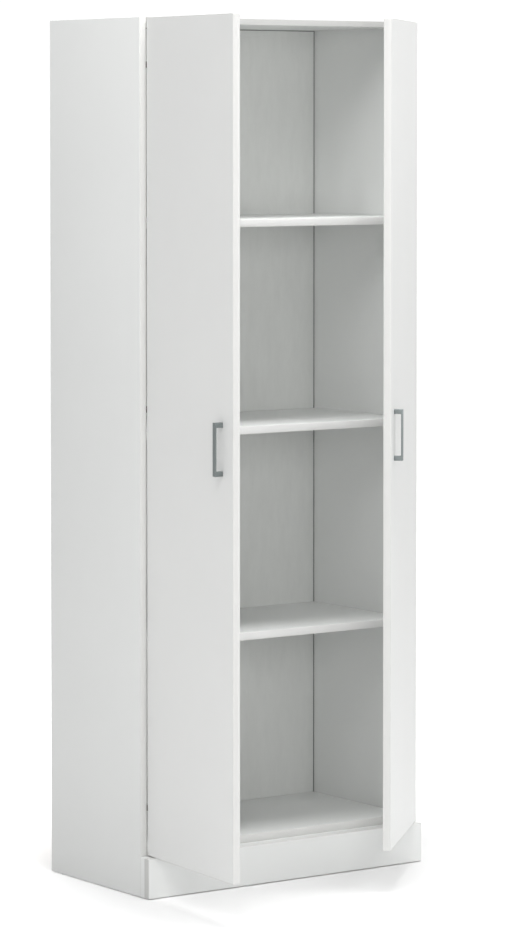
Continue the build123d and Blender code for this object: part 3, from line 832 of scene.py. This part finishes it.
class PANTRY_OT_carcass_boards(bpy.types.Operator):
    """Side panels, top, bottom, shelves, plinth and what carries the plinth"""

    bl_idname = "pantry.carcass_boards"
    bl_label = "Carcass boards"

    def execute(self, context):
        cam_depth = {"top_panel": 8.5, "bottom_panel": 12.5, "middle_shelf": 12.5}
        for node in ("top_panel", "bottom_panel", "lower_shelf", "middle_shelf", "upper_shelf"):
            cams = CAM_PLACES if node in cam_depth else ()
            pockets = [(circle(x, y, CAM_BORE), cam_depth[node]) for x, y in cams]
            # Shelves take the lighter band, which paints light onto their front edges.
            band = shelf_band if node.endswith("shelf") else edge_band
            flat_board(node, band, pockets, flip=node != "top_panel")
        self.plinth()
        for side, hand in SIDES.items():
            self.side_board(side, hand < 0)
            self.toe_block(side, hand < 0)
        self.glides()
        dress("plinth_batten", melamine)
        return {"FINISHED"}

    def plinth(self):
        """Front board of the foot, whose end faces take a finish darker than its band."""
        lo, hi = box_mm("plinth")
        plinth = Drawing("XZY")
        outline = rectangle((lo[0], lo[2] + GLIDE_H), (hi[0], hi[2]), BOARD_CORNER)
        plinth.plate(outline, lo[1], hi[1], band_rim(), rim_finish=1)
        mesh = plinth.mesh("plinth")
        # The end faces take the darker finish.
        for face in mesh.polygons:
            if abs(face.normal.x) > 0.95:
                face.material_index = 2
        put_board("plinth_board", mesh, "plinth", melamine, edge_band, plain_end)

    def side_board(self, side, mirrored):
        """Side panel with a banded front edge and a rebate behind."""
        lo, hi = box_mm("left_side_panel")
        ease = 1.0
        rebate_x, rebate_y = lo[0] + REBATE_LEFT, hi[1] - REBATE_DEEP
        corners = [
            (lo[0], lo[1], ease), (hi[0], lo[1], ease), (hi[0], rebate_y),
            (rebate_x, rebate_y), (rebate_x, hi[1]), (lo[0], hi[1], ease),
        ]
        panel = Drawing("XYZ")
        panel.plate(rounded(corners, 0.0), lo[2] + GLIDE_H, hi[2], EASED)
        mesh = panel.mesh("side_panel", mirrored)
        for face in mesh.polygons:
            if face.center.y < lo[1] + ease and abs(face.normal.z) < 0.5:
                face.material_index = 1
        put_board(side + "_side_board", mesh, side + "_side_panel", melamine, edge_band)

    def toe_block(self, side, mirrored):
        """Block at a side panel's foot that carries the plinth."""
        lo, hi = box_mm("left_toe_block")
        node = side + "_toe_block"
        toe = Drawing("XYZ")
        toe.plate(rectangle(lo, hi, 0.3), lo[2] + GLIDE_H, hi[2])
        put_board(side + "_toe_board", toe.mesh(node, mirrored), node, melamine)

    def glides(self):
        """Thin pads under the sides and the plinth that the cabinet stands on."""
        top = GLIDE_H + 0.1
        pad = Drawing()
        pad.turned(((0.0, 0.0), (6.2, 0.0), (6.6, 0.3), (6.8, top), (0.0, top)), 24)
        feet = [(x, y, 0.0) for x in (-342.0, 342.0) for y in (60.0, 320.0)]
        feet += [(x, 0.0, 0.0) for x in (-300.0, -100.0, 100.0, 300.0)]
        mesh = stand_fittings(pad.mesh("glide"), [(foot, UP) for foot in feet], soft_buffer)
        put("floor_glides", mesh, "carcass")


class PANTRY_OT_back_panel(bpy.types.Operator):
    """Thin back board, lacquered inside and bare behind, with the nails that hold it"""

    bl_idname = "pantry.back_panel"
    bl_label = "Back panel"

    def execute(self, context):
        lo, hi = box_mm("back_panel")
        hole = circle(0.0, WALL_HOLE_Z, 4.5)
        skin = lo[1] + BACK_SKIN
        back = Drawing("XZY")
        outline = rectangle((lo[0], lo[2]), (hi[0], hi[2]), 0.6)
        back.plate(outline, skin, hi[1], holes=[hole], rim_finish=1)
        top_lo, top_hi = box_mm("top_panel")
        inner, upper = top_hi[0] - SHADOW_GAP, top_lo[2] - SHADOW_GAP
        lower = box_mm("bottom_panel")[1][2] - 1.0
        back.plate(rectangle((-inner, lower), (inner, upper), 0.3), lo[1], skin + 0.1, holes=[hole])
        mesh = back.mesh("back_panel")
        # Faces of the back layer: its front face, seen in the shadow gap, takes the darkened finish as
        # painted shade; the others take bare fibre.
        for face in mesh.polygons:
            if face.center.y > skin - 0.1:
                face.material_index = 2 if face.normal.y < -0.5 else 1
        finishes = (back_lacquer, raw_fibre, back_groove)
        put("back_board_panel", mesh, "carcass", ("back_panel",), finishes=finishes)
        self.nails(lo, hi)
        return {"FINISHED"}

    def nails(self, lo, hi):
        """Nails along the back board's rim."""
        inset = 4.0
        left, right, low, high = lo[0] + inset, hi[0] - inset, lo[2] + inset, hi[2] - inset
        corners = [(x, hi[1], z) for x, z in ((left, low), (right, low), (right, high), (left, high))]
        path = bpy.data.meshes.new("nail_path")
        path.from_pydata(corners, [(0, 1), (1, 2), (2, 3), (3, 0)], [])
        nail = Drawing("ZXY")
        nail.turned(((0.0, -0.1), (0.5, -0.1), (0.5, 0.06), (0.42, 0.13), (0.26, 0.17), (0.0, 0.18)), 12)
        head, spacing = hardware().nail_head / MM, hardware().nail_spacing / MM
        values = {"Size": head, "Spacing": spacing, "Finish": screw_steel()}
        mesh = run_tree(nails_tree(), path, nail.mesh("nail"), values)
        put("back_nails", mesh, "carcass")


class PANTRY_OT_doors(bpy.types.Operator):
    """Two slab doors with banded edges and bored for their hinge cups"""

    bl_idname = "pantry.doors"
    bl_label = "Doors"

    def execute(self, context):
        bore, depth = 17.55, 11.7
        finishes = (door_melamine, edge_band, chipboard)
        for side, hand in SIDES.items():
            node, body = side + "_door_panel", side + "_door"
            place = placing(side)[1]
            lo, hi = box_mm(node, place)
            door = Drawing("XZY")
            bores = [(circle(hand * CUP_X, z, bore, 48), depth) for z in HINGE_Z]
            outline = rectangle((lo[0], lo[2]), (hi[0], hi[2]), BOARD_CORNER)
            door.plate(outline, lo[1], hi[1], band_rim(), pockets=bores, rim_finish=1, pocket_finish=2)
            put(side + "_door_board", door.mesh(node), body, (node,), place, finishes)
        return {"FINISHED"}


class PANTRY_OT_handles(bpy.types.Operator):
    """Slim bow handles with square legs"""

    bl_idname = "pantry.handles"
    bl_label = "Handles"

    def execute(self, context):
        leg, grip = 10.0, 3.5
        for side in SIDES:
            node, body = side + "_handle", side + "_door"
            place = placing(side)[1]
            lo, hi = box_mm(node, place)
            front, door, low, high = lo[1], hi[1], lo[2], hi[2]
            corners = [
                (door, low, 0.7), (door, low + leg, 0.7), (front + grip, low + leg, 1.2),
                (front + grip, high - leg, 1.2), (door, high - leg, 0.7), (door, high, 0.7),
                (front, high, 1.0), (front, low, 1.0),
            ]
            bow = Drawing("YZX")
            bow.plate(rounded(corners, 0.0), lo[0], hi[0], EASED)
            mesh = bow.mesh(node)
            put(side + "_bow_handle", mesh, body, (node,), place, (satin_handle,))
        return {"FINISHED"}


def hinge_cup_mesh(mirrored):
    """Drawn steel cup with a rolled rim and an eared flange."""
    cup = Drawing()
    cup.lay("XZY", (CUP_X, DOOR_BACK_Y, 0.0))
    inner = [(16.6, 0.0), (16.6, -8.2), (16.1, -9.6), (15.0, -10.4), (13.4, -10.7), (0.0, -10.7)]
    outer = [(0.0, -11.5), (13.7, -11.5), (15.7, -10.9), (17.0, -9.6), (17.45, -8.0), (17.45, -0.2)]
    rim = [(17.45, 0.12), (17.2, 0.34), (16.8, 0.3)]
    cup.turned(inner + outer + rim, 48, closed=True)
    ear, reach = 26.0, 19.5
    notch = circle(0.0, 0.0, 17.0, 24, radians(-90), radians(180))
    corners = [(0.0, -ear, 1.0), (reach, -ear, 6.0), (reach, ear, 6.0), (0.0, ear, 1.0)]
    flange = rounded(corners, 0.0) + notch[::-1]
    cup.plate(flange, 0.0, CUP_FLANGE)
    return cup.mesh("hinge_cup", mirrored)


def strap_outline(path, width):
    """Outline of a bent strip along its middle line."""
    points = [Vector(p) for p in path]
    runs = [(b - a).normalized() for a, b in zip(points, points[1:])]
    near, far = [], []
    for point, before, after in zip(points, runs[:1] + runs, runs + runs[-1:]):
        across = (before + after).normalized()
        across = Vector((-across.y, across.x))
        reach = across * (width / 2 / across.dot(Vector((-before.y, before.x))))
        near.append(tuple(point + reach))
        far.append(tuple(point - reach))
    return near + far[::-1]


def hinge_link_mesh(mirrored):
    """Swinging link: a strap that hooks round the door's edge, rolled round both pins."""
    half, strip, eye, bore = 5.0, 2.0, 2.5, 1.56
    swing = Matrix.Rotation(radians(-DOOR_TURN), 2)
    bends = [CUP_PIN + swing @ (Vector(corner) - CUP_PIN) for corner in ((-341.12, 21.6), (-350.6, 21.6))]
    link = Drawing("XYZ")
    link.plate(strap_outline([CUP_PIN, *bends, ARM_PIN], strip), -half, half)
    for pin in (CUP_PIN, ARM_PIN):
        link.lay("XYZ", (pin.x, pin.y, 0.0))
        link.plate(circle(0, 0, eye, 28), -half, half, holes=[circle(0, 0, bore, 28)])
    return link.mesh("hinge_link", mirrored)


def hinge_arm_mesh(mirrored):
    """Pressed channel arm: two cheeks round the pin and a slotted web between them."""
    sheet = 1.5
    arm = Drawing("XYZ")
    nose = circle(ARM_PIN.x, ARM_PIN.y, 4.2, 16, radians(180), radians(180))
    corners = [(-320.1, 34.0, 2.0), (ARM_FACE_X, 80.0, 5.0)]
    corners += [(-331.0, 80.0, 1.5), (-331.0, 40.0, 3.0), (-328.5, 33.0, 2.0)]
    bore = circle(ARM_PIN.x, ARM_PIN.y, 1.52, 20)
    for low in (-6.8, 5.3):
        arm.plate(nose + rounded(corners, 0.0), low, low + sheet, holes=[bore])
    arm.lay("YZX")
    slot = rectangle((55.5, -2.6), (64.5, 2.6), 2.55, 8)
    adjuster = circle(72.5, 0.0, 2.2, 24)
    web = rectangle((34.0, -5.4), (79.0, 5.4), 1.0)
    arm.plate(web, ARM_FACE_X - sheet, ARM_FACE_X, holes=[slot, adjuster])
    return arm.mesh("hinge_arm", mirrored)


def hinge_plate_mesh(mirrored):
    """Cross-shaped mounting plate with a raised rail under the arm."""
    lower = [(42.0, -9.0, 3.0), (48.5, -9.0, 2.5), (50.0, -24.0, 8.5)]
    lower += [(68.0, -24.0, 8.5), (69.5, -9.0, 2.5), (78.0, -9.0, 3.0)]
    upper = [(y, -z, radius) for y, z, radius in reversed(lower)]
    plate = Drawing("YZX")
    plate.plate(rounded(lower + upper, 0.0, 6), SIDE_INNER_X, PLATE_FACE_X, EASED)
    plate.plate(rectangle((43.0, -7.6), (77.0, 7.6), 2.0), -332.5, -331.0)
    return plate.mesh("hinge_plate", mirrored)


def hinge_pin_mesh(pin, half, mirrored):
    """Round pin with domed ends."""
    rod = Drawing()
    rod.lay("XYZ", (pin.x, pin.y, 0.0))
    upper = [(0.0, half), (0.8, half - 0.12), (1.3, half - 0.38), (1.48, half - 0.8)]
    lower = [(radius, -level) for radius, level in reversed(upper)]
    rod.turned(upper + lower, 20)
    return rod.mesh("hinge_pin", mirrored)


class PANTRY_OT_hinges(bpy.types.Operator):
    """Concealed hinges: plates, arms, links, cups and pins"""

    bl_idname = "pantry.hinges"
    bl_label = "Hinges"

    def execute(self, context):
        for side, hand in SIDES.items():
            links, door = placing(side)
            right = hand < 0
            rows = (
                ("plates", hinge_plate_mesh(right), nickel, "carcass", None),
                ("arms", hinge_arm_mesh(right), nickel, "carcass", None),
                ("arm_pins", hinge_pin_mesh(ARM_PIN, 6.9, right), dark_nickel, "carcass", None),
                ("links", hinge_link_mesh(right), dark_nickel, side + "_links", links),
                ("cups", hinge_cup_mesh(right), nickel, side + "_door", door),
                ("cup_pins", hinge_pin_mesh(CUP_PIN, 9.6, right), dark_nickel, side + "_door", door),
            )
            for kind, mesh, finish, body, place in rows:
                node = f"{side}_hinge_{kind}"
                three = at_heights(mesh, finish)
                put(f"{side}_pressed_{kind}", three, body, (node,), place)
        return {"FINISHED"}


class PANTRY_OT_screws(bpy.types.Operator):
    """Cross-head screws of the hinges, handles, plinth and bracket"""

    bl_idname = "pantry.screws"
    bl_label = "Screws"

    def execute(self, context):
        plate_reach, cup_reach = 16.0, 22.5
        flange_y = DOOR_BACK_Y + CUP_FLANGE
        rows = []
        for side, hand in SIDES.items():
            place = placing(side)[1]
            door, inward = side + "_door", (float(hand), 0.0, 0.0)
            plate_z = [z + s * plate_reach for z in HINGE_Z for s in (-1, 1)]
            cup_z = [z + s * cup_reach for z in HINGE_Z for s in (-1, 1)]
            plates = [((hand * PLATE_FACE_X, HINGE_SCREW_Y, z), inward) for z in plate_z]
            arms = [((hand * ARM_FACE_X, HINGE_SCREW_Y, z), inward) for z in HINGE_Z]
            cups = [((hand * CUP_SCREW_X, flange_y, z), BACK) for z in cup_z]
            grips = [((hand * HANDLE_X, DOOR_BACK_Y, z), BACK) for z in HANDLE_Z]
            rows += [
                (side + "_hinge_plate_screws", plates, 8.0, 2.5, "carcass", None),
                (side + "_hinge_arm_screws", arms, 7.0, 1.8, "carcass", None),
                (side + "_hinge_cup_screws", cups, 6.5, 1.6, door, place),
                (side + "_handle_screws", grips, 8.0, 2.4, door, place),
            ]
        behind = [((x, 34.0, 64.0), BACK) for x in (-250.5, -83.5, 83.5, 250.5)]
        under = [((x, 335.5, 1776.0), DOWN) for x in (-11.0, 11.0)]
        rows += [
            ("plinth_screws", behind, 8.0, 2.5, "carcass", None),
            ("wall_bracket_screws", under, 6.5, 1.6, "carcass", None),
        ]
        for number, (node, places, size, height, body, place) in enumerate(rows):
            seed = hardware().spin_seed + number
            mesh = stand_fittings(screw_head(height / size), places, screw_steel, size, pi / 2, seed)
            put(node + "_heads", mesh, body, (node,), place)
        return {"FINISHED"}


def shelf_spoon_mesh(mirrored):
    """Shelf pin with a collar and a flat spoon that the shelf lies on."""
    spoon = Drawing("YZX")
    pin = ((0.0, -9.0), (2.0, -9.0), (2.45, -8.4), (2.45, 0.0), (2.45, 7.0), (1.6, 8.6), (0.0, 8.8))
    spoon.turned(pin, 24)
    spoon.turned(((0.0, 0.0), (3.9, 0.0), (4.1, 0.3), (4.1, 1.0), (3.8, 1.3), (0.0, 1.3)), 28)
    reach, half = 9.0, 4.5
    spoon.lay("XYZ")
    corners = [(0.0, -half, 0.5), (reach, -half, 3.5), (reach, half, 3.5), (0.0, half, 0.5)]
    spoon.plate(rounded(corners, 0.0), 0.7, 2.5)
    return spoon.mesh("shelf_spoon", mirrored)


class PANTRY_OT_joinery(bpy.types.Operator):
    """Cam locks, cam bolts, dowels and shelf pins"""

    bl_idname = "pantry.joinery"
    bl_label = "Joinery"

    def execute(self, context):
        profile = [(7.4, -7.0), (7.5, -6.8), (7.5, -0.5), (7.2, -0.2), (6.4, -0.2), (6.1, -0.5), (5.8, -0.5)]
        cam = crossed(profile, 40, (4.2, 0.85), (3.4, 0.6), 3.1)
        faces = [(box_mm("top_panel")[1][2], UP)]
        faces += [(box_mm(node)[0][2], DOWN) for node in ("bottom_panel", "middle_shelf")]
        places = [((x, y, z), axis) for z, axis in faces for x, y in CAM_PLACES]
        mesh = stand_fittings(cam, places, zinc_cast, 1.0, pi / 3, hardware().spin_seed)
        put("cam_lock_faces", mesh, "carcass", ("cam_locks",))
        dress("cam_bolts", zinc_cast)
        dress("dowels", beech)
        for side, hand in SIDES.items():
            places = [((hand * SIDE_INNER_X, y, z), UP) for y in PIN_Y for z in PIN_Z]
            mesh = stand_fittings(shelf_spoon_mesh(hand < 0), places, zinc_plate)
            replaced = ("shelf_pins",) if side == "left" else ()
            put(side + "_shelf_spoons", mesh, "carcass", replaced)
        return {"FINISHED"}


def bracket_leaf(left, right, low, high):
    """Leaf of the bracket, whose two free corners are rounded."""
    corner = 5.0
    return rounded([(left, low, corner), (right, low, corner), (right, high), (left, high)], 0.0)


class PANTRY_OT_wall_bracket(bpy.types.Operator):
    """Bent steel angle that keeps the cabinet from tipping"""

    bl_idname = "pantry.wall_bracket"
    bl_label = "Wall bracket"

    def execute(self, context):
        lo, hi = box_mm("wall_bracket")
        bend, sheet = 4.0, 2.0
        rear, top = hi[1] - bend, hi[2] - bend
        angle = Drawing("YZX")
        outside = circle(rear, top, bend, 8, 0.0, pi / 2)
        inside = circle(rear, top, bend - sheet, 8, pi / 2, -pi / 2)
        angle.plate(outside + inside, lo[0], hi[0])
        angle.lay("XZY")
        hole = circle(0.0, WALL_HOLE_Z, 2.75)
        angle.plate(bracket_leaf(lo[0], hi[0], lo[2], top), hi[1] - sheet, hi[1], holes=[hole])
        angle.lay("XYZ")
        angle.plate(bracket_leaf(lo[0], hi[0], lo[1], rear), hi[2] - sheet, hi[2])
        mesh = angle.mesh("wall_bracket")
        finishes = (zinc_plate,)
        put("wall_bracket_angle", mesh, "carcass", ("wall_bracket",), finishes=finishes)
        return {"FINISHED"}


class PANTRY_OT_buffers(bpy.types.Operator):
    """Soft domes that the doors close on"""

    bl_idname = "pantry.buffers"
    bl_label = "Door buffers"

    def execute(self, context):
        profile = ((0.0, 0.0), (3.8, 0.0), (4.0, 0.25), (3.85, 0.7), (3.2, 1.15), (2.0, 1.42), (0.0, 1.5))
        for side, hand in SIDES.items():
            dome = Drawing()
            dome.turned(profile, 28)
            places = [((hand * BUFFER_X, DOOR_BACK_Y, z), BACK) for z in BUFFER_Z]
            mesh = stand_fittings(dome.mesh("buffer"), places, soft_buffer)
            node, place = side + "_door_buffers", placing(side)[1]
            put(side + "_buffer_domes", mesh, side + "_door", (node,), place)
        return {"FINISHED"}


class PANTRY_OT_stage(bpy.types.Operator):
    """White floor, soft studio light and the camera"""

    bl_idname = "pantry.stage"
    bl_label = "Stage"

    def execute(self, context):
        scene, stage = context.scene, context.scene.pantry_stage
        scene.view_settings.view_transform = "Standard"
        self.floor(scene)
        scene.world = self.studio_world(stage)
        for name, place in LIGHT_PLACES.items():
            self.soft_box(scene, name, place, getattr(stage, name))
        self.keep_off("overhead", "top_panel_board")
        self.camera(scene, stage)
        return {"FINISHED"}

    def floor(self, scene):
        """Floor far wider than the view."""
        mesh = bpy.data.meshes.new("floor")
        ends = (-FLOOR_REACH, FLOOR_REACH)
        mesh.from_pydata([(x, y, 0.0) for y in ends for x in ends], [], [(0, 1, 3, 2)])
        mesh.materials.append(floor_paper())
        floor = bpy.data.objects.new("floor", mesh)
        scene.collection.objects.link(floor)

    def studio_world(self, stage):
        """Even light that is stronger from behind the cabinet, and a white backdrop that only shows."""
        world = bpy.data.worlds.new("studio")
        world.use_nodes = True
        tree = world.node_tree
        backwards = (sin(stage.camera_yaw), cos(stage.camera_yaw), 0.0)
        limits = {"From Min": -1.0, "To Min": stage.front_glow, "To Max": stage.back_glow}
        direction = add(tree, "ShaderNodeTexCoord")
        behind = add(tree, "ShaderNodeVectorMath", {1: backwards}, operation="DOT_PRODUCT")
        strength = add(tree, "ShaderNodeMapRange", limits)
        seen = add(tree, "ShaderNodeLightPath")
        either = add(tree, "ShaderNodeMix", {"B": stage.backdrop})
        glow = tree.nodes["Background"]
        glow.inputs["Color"].default_value = WHITE
        link_nodes(
            tree,
            (direction, "Generated", behind, 0),
            (behind, "Value", strength, "Value"),
            (seen, "Is Camera Ray", either, "Factor"),
            (strength, "Result", either, "A"),
            (either, "Result", glow, "Strength"),
        )
        return world

    def soft_box(self, scene, name, place, power):
        """Square light aimed at the middle of the cabinet."""
        lamp = bpy.data.lights.new(name, "AREA")
        lamp.size = LIGHT_SIZE
        lamp.energy = power
        light = bpy.data.objects.new(name, lamp)
        light.location = place
        light.rotation_euler = (LIGHT_AIM - Vector(place)).to_track_quat("-Z", "Y").to_euler()
        scene.collection.objects.link(light)

    def keep_off(self, light, piece):
        """Keeps a light off one piece, as a flag on a stand would."""
        shaded = bpy.data.collections.new(light + "_shaded")
        shaded.objects.link(bpy.data.objects[piece])
        shaded.collection_objects[0].light_linking.link_state = "EXCLUDE"
        bpy.data.objects[light].light_linking.receiver_collection = shaded

    def camera(self, scene, stage):
        """Camera at the photograph's viewing angle."""
        view = bpy.data.cameras.new("camera")
        view.sensor_width = 36.0
        view.lens = stage.lens
        view.shift_y = stage.lift
        camera = bpy.data.objects.new("camera", view)
        camera.location = stage.camera_place
        camera.rotation_euler = (pi / 2 - stage.camera_dip, 0.0, -stage.camera_yaw)
        scene.collection.objects.link(camera)
        scene.camera = camera


OPERATORS = (
    PANTRY_OT_carcass_boards,
    PANTRY_OT_back_panel,
    PANTRY_OT_doors,
    PANTRY_OT_handles,
    PANTRY_OT_hinges,
    PANTRY_OT_screws,
    PANTRY_OT_joinery,
    PANTRY_OT_wall_bracket,
    PANTRY_OT_buffers,
    PANTRY_OT_stage,
)


class VIEW3D_PT_pantry(bpy.types.Panel):
    """Lists the cabinet's pieces and settings"""

    bl_label = "Pantry cabinet"
    bl_idname = "VIEW3D_PT_pantry"
    bl_space_type = "VIEW_3D"
    bl_region_type = "UI"
    bl_category = "Pantry"

    def draw(self, context):
        for group in ("pantry_boards", "pantry_hardware", "pantry_stage"):
            settings = getattr(context.scene, group)
            column = self.layout.column(align=True)
            for label in settings.__annotations__:
                column.prop(settings, label)
        for operator in OPERATORS:
            self.layout.operator(operator.bl_idname)


SETTINGS = {
    "pantry_boards": PantryBoards,
    "pantry_hardware": PantryHardware,
    "pantry_stage": PantryStage,
}
CLASSES = (*SETTINGS.values(), *OPERATORS, VIEW3D_PT_pantry)


def register():
    for cls in CLASSES:
        bpy.utils.register_class(cls)
    for name, group in SETTINGS.items():
        setattr(bpy.types.Scene, name, PointerProperty(type=group))


def unregister():
    for name in SETTINGS:
        delattr(bpy.types.Scene, name)
    for cls in reversed(CLASSES):
        bpy.utils.unregister_class(cls)


def main():
    register()
    bpy.ops.pantry.carcass_boards()
    bpy.ops.pantry.back_panel()
    bpy.ops.pantry.doors()
    bpy.ops.pantry.handles()
    bpy.ops.pantry.hinges()
    bpy.ops.pantry.screws()
    bpy.ops.pantry.joinery()
    bpy.ops.pantry.wall_bracket()
    bpy.ops.pantry.buffers()
    bpy.ops.pantry.stage()


if __name__ == "__main__":
    main()
